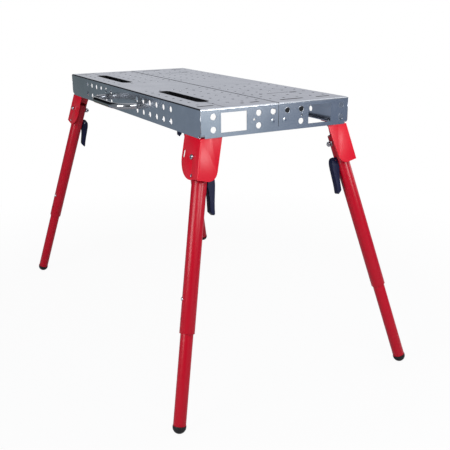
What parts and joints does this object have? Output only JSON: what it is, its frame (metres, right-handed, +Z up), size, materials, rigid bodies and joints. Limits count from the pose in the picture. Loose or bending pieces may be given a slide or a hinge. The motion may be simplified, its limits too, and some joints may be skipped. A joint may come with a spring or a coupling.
{
  "type": "portable welding table",
  "caption": "Perforated steel work table with clamp slots, a carry handle and folding, telescoping splayed legs on latched brackets.",
  "frame": {"origin": "on the floor under the middle of the top", "axes": "+X along the top, -Y towards the carry handle, +Z up"},
  "size_m": [1.2686, 0.7438, 0.76],
  "materials": {
    "zinc_sheet": "zinc-plated sheet steel, semi-bright",
    "chrome_bar": "polished chrome plate",
    "zinc_bolts": "bright zinc-plated fasteners",
    "dark_strap": "black oxide strap",
    "red_paint": "glossy red powder coat",
    "black_lever": "black moulded plastic",
    "black_plug": "black moulded plastic",
    "grey_sleeve": "dark acetal sleeve",
    "black_rubber": "moulded rubber",
    "spring_wire": "spring steel"
  },
  "bodies": {
    "table": {"front_tray": "zinc_sheet", "back_tray": "zinc_sheet", "front_stiffeners": "zinc_sheet", "back_stiffeners": "zinc_sheet", "seam_bolts": "zinc_bolts", "end_straps": "dark_strap", "end_strap_bolts": "zinc_bolts", "hole_plugs": "black_plug", "slot_liners": "black_plug", "carry_handle": "chrome_bar", "handle_bolts": "zinc_bolts", "bracket_bolts": "zinc_bolts", "pivot_bolts": "zinc_bolts", "pivot_washers": "zinc_bolts", "pivot_nuts": "zinc_bolts", "bracket_front_left": "red_paint", "bracket_front_right": "red_paint", "bracket_back_left": "red_paint", "bracket_back_right": "red_paint"},
    "leg_front_left": {"outer_tube_front_left": "red_paint", "guide_sleeve_front_left": "grey_sleeve", "latch_spring_front_left": "spring_wire"},
    "extension_front_left": {"inner_tube_front_left": "red_paint", "foot_front_left": "black_rubber"},
    "button_front_left": {"height_button_front_left": "zinc_bolts"},
    "pin_front_left": {"latch_pin_front_left": "zinc_bolts"},
    "lever_front_left": {"latch_lever_front_left": "black_lever", "lever_rivet_front_left": "zinc_bolts"},
    "leg_front_right": {"outer_tube_front_right": "red_paint", "guide_sleeve_front_right": "grey_sleeve", "latch_spring_front_right": "spring_wire"},
    "extension_front_right": {"inner_tube_front_right": "red_paint", "foot_front_right": "black_rubber"},
    "button_front_right": {"height_button_front_right": "zinc_bolts"},
    "pin_front_right": {"latch_pin_front_right": "zinc_bolts"},
    "lever_front_right": {"latch_lever_front_right": "black_lever", "lever_rivet_front_right": "zinc_bolts"},
    "leg_back_left": {"outer_tube_back_left": "red_paint", "guide_sleeve_back_left": "grey_sleeve", "latch_spring_back_left": "spring_wire"},
    "extension_back_left": {"inner_tube_back_left": "red_paint", "foot_back_left": "black_rubber"},
    "button_back_left": {"height_button_back_left": "zinc_bolts"},
    "pin_back_left": {"latch_pin_back_left": "zinc_bolts"},
    "lever_back_left": {"latch_lever_back_left": "black_lever", "lever_rivet_back_left": "zinc_bolts"},
    "leg_back_right": {"outer_tube_back_right": "red_paint", "guide_sleeve_back_right": "grey_sleeve", "latch_spring_back_right": "spring_wire"},
    "extension_back_right": {"inner_tube_back_right": "red_paint", "foot_back_right": "black_rubber"},
    "button_back_right": {"height_button_back_right": "zinc_bolts"},
    "pin_back_right": {"latch_pin_back_right": "zinc_bolts"},
    "lever_back_right": {"latch_lever_back_right": "black_lever", "lever_rivet_back_right": "zinc_bolts"}
  },
  "joints": [
    {"name": "fold_front_left", "type": "hinge", "parent": "table", "child": "leg_front_left", "pos_m": [-0.46965, -0.20669, 0.63782], "axis": [0, -0.9728, 0.2317], "range_deg": [0, 103]},
    {"name": "extend_front_left", "type": "slide", "parent": "leg_front_left", "child": "extension_front_left", "axis": [0.225, 0.2258, 0.9478], "range_m": [0, 0.22]},
    {"name": "press_front_left", "type": "slide", "parent": "leg_front_left", "child": "button_front_left", "axis": [-0.3011, 0.9413, -0.1528], "range_m": [0, 0.0017], "stiffness_N_per_m": 900, "springref_m": -0.002},
    {"name": "unlatch_front_left", "type": "slide", "parent": "leg_front_left", "child": "pin_front_left", "axis": [0, 0.9728, -0.2317], "range_m": [0, 0.008], "stiffness_N_per_m": 600, "springref_m": -0.005, "deforming": ["latch_spring_front_left"]},
    {"name": "pull_front_left", "type": "hinge", "parent": "pin_front_left", "child": "lever_front_left", "pos_m": [-0.48, -0.19276, 0.58842], "axis": [0.9744, -0.0521, -0.2188], "range_deg": [0, 60]},
    {"name": "fold_front_right", "type": "hinge", "parent": "table", "child": "leg_front_right", "pos_m": [0.46965, -0.20669, 0.63782], "axis": [0, 0.9728, -0.2317], "range_deg": [0, 103]},
    {"name": "extend_front_right", "type": "slide", "parent": "leg_front_right", "child": "extension_front_right", "axis": [-0.225, 0.2258, 0.9478], "range_m": [0, 0.22]},
    {"name": "press_front_right", "type": "slide", "parent": "leg_front_right", "child": "button_front_right", "axis": [0.3011, 0.9413, -0.1528], "range_m": [0, 0.0017], "stiffness_N_per_m": 900, "springref_m": -0.002},
    {"name": "unlatch_front_right", "type": "slide", "parent": "leg_front_right", "child": "pin_front_right", "axis": [0, 0.9728, -0.2317], "range_m": [0, 0.008], "stiffness_N_per_m": 600, "springref_m": -0.005, "deforming": ["latch_spring_front_right"]},
    {"name": "pull_front_right", "type": "hinge", "parent": "pin_front_right", "child": "lever_front_right", "pos_m": [0.48, -0.19276, 0.58842], "axis": [0.9744, 0.0521, 0.2188], "range_deg": [0, 60]},
    {"name": "fold_back_left", "type": "hinge", "parent": "table", "child": "leg_back_left", "pos_m": [-0.46965, 0.20669, 0.63782], "axis": [0, -0.9728, -0.2317], "range_deg": [0, 103]},
    {"name": "extend_back_left", "type": "slide", "parent": "leg_back_left", "child": "extension_back_left", "axis": [0.225, -0.2258, 0.9478], "range_m": [0, 0.22]},
    {"name": "press_back_left", "type": "slide", "parent": "leg_back_left", "child": "button_back_left", "axis": [-0.3011, -0.9413, -0.1528], "range_m": [0, 0.0017], "stiffness_N_per_m": 900, "springref_m": -0.002},
    {"name": "unlatch_back_left", "type": "slide", "parent": "leg_back_left", "child": "pin_back_left", "axis": [0, -0.9728, -0.2317], "range_m": [0, 0.008], "stiffness_N_per_m": 600, "springref_m": -0.005, "deforming": ["latch_spring_back_left"]},
    {"name": "pull_back_left", "type": "hinge", "parent": "pin_back_left", "child": "lever_back_left", "pos_m": [-0.48, 0.19276, 0.58842], "axis": [-0.9744, -0.0521, 0.2188], "range_deg": [0, 60]},
    {"name": "fold_back_right", "type": "hinge", "parent": "table", "child": "leg_back_right", "pos_m": [0.46965, 0.20669, 0.63782], "axis": [0, 0.9728, 0.2317], "range_deg": [0, 103]},
    {"name": "extend_back_right", "type": "slide", "parent": "leg_back_right", "child": "extension_back_right", "axis": [-0.225, -0.2258, 0.9478], "range_m": [0, 0.22]},
    {"name": "press_back_right", "type": "slide", "parent": "leg_back_right", "child": "button_back_right", "axis": [0.3011, -0.9413, -0.1528], "range_m": [0, 0.0017], "stiffness_N_per_m": 900, "springref_m": -0.002},
    {"name": "unlatch_back_right", "type": "slide", "parent": "leg_back_right", "child": "pin_back_right", "axis": [0, -0.9728, -0.2317], "range_m": [0, 0.008], "stiffness_N_per_m": 600, "springref_m": -0.005, "deforming": ["latch_spring_back_right"]},
    {"name": "pull_back_right", "type": "hinge", "parent": "pin_back_right", "child": "lever_back_right", "pos_m": [0.48, 0.19276, 0.58842], "axis": [-0.9744, 0.0521, -0.2188], "range_deg": [0, 60]}
  ],
  "couplings": [
    {"joint": "pull_front_left", "follows": "unlatch_front_left", "rad_per_m": 130.8},
    {"joint": "pull_front_right", "follows": "unlatch_front_right", "rad_per_m": 130.8},
    {"joint": "pull_back_left", "follows": "unlatch_back_left", "rad_per_m": 130.8},
    {"joint": "pull_back_right", "follows": "unlatch_back_right", "rad_per_m": 130.8}
  ]
}
